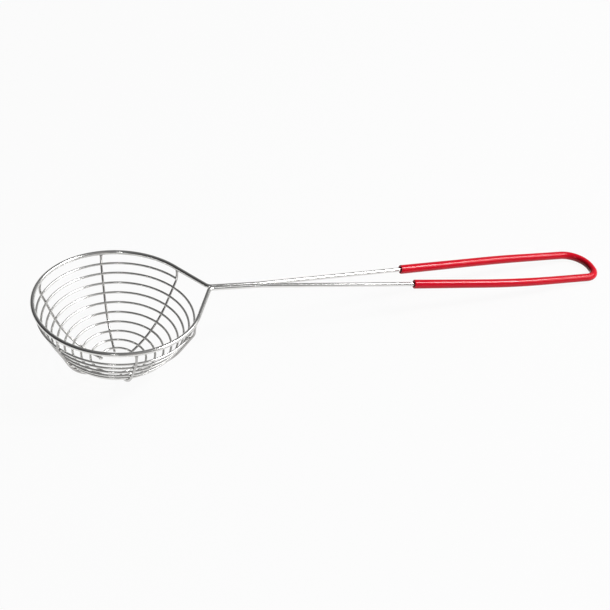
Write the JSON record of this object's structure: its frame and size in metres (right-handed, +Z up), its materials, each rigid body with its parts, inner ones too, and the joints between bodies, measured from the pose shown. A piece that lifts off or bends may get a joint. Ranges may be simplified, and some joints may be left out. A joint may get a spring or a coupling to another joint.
{
  "type": "fondue sieve",
  "caption": "Small wire bowl of a spiral on ribs, on a long hairpin wire handle with a red plastic grip tube; lifts and drains food from hot oil or broth.",
  "frame": {"origin": "on the table that the sieve rests on, under the middle of its length and width", "axes": "+X along the handle, away from the bowl; +Y across the handle; +Z up from the table"},
  "size_m": [0.2784, 0.077, 0.0386],
  "materials": {
    "steel": "bright drawn",
    "grip": "glossy"
  },
  "bodies": {
    "root": {"frame_wire": "steel", "bowl_spiral": "steel", "rib_1": "steel", "rib_2": "steel", "rib_3": "steel", "rib_4": "steel", "rib_5": "steel", "rib_6": "steel", "grip_sleeve": "grip"}
  },
  "joints": []
}
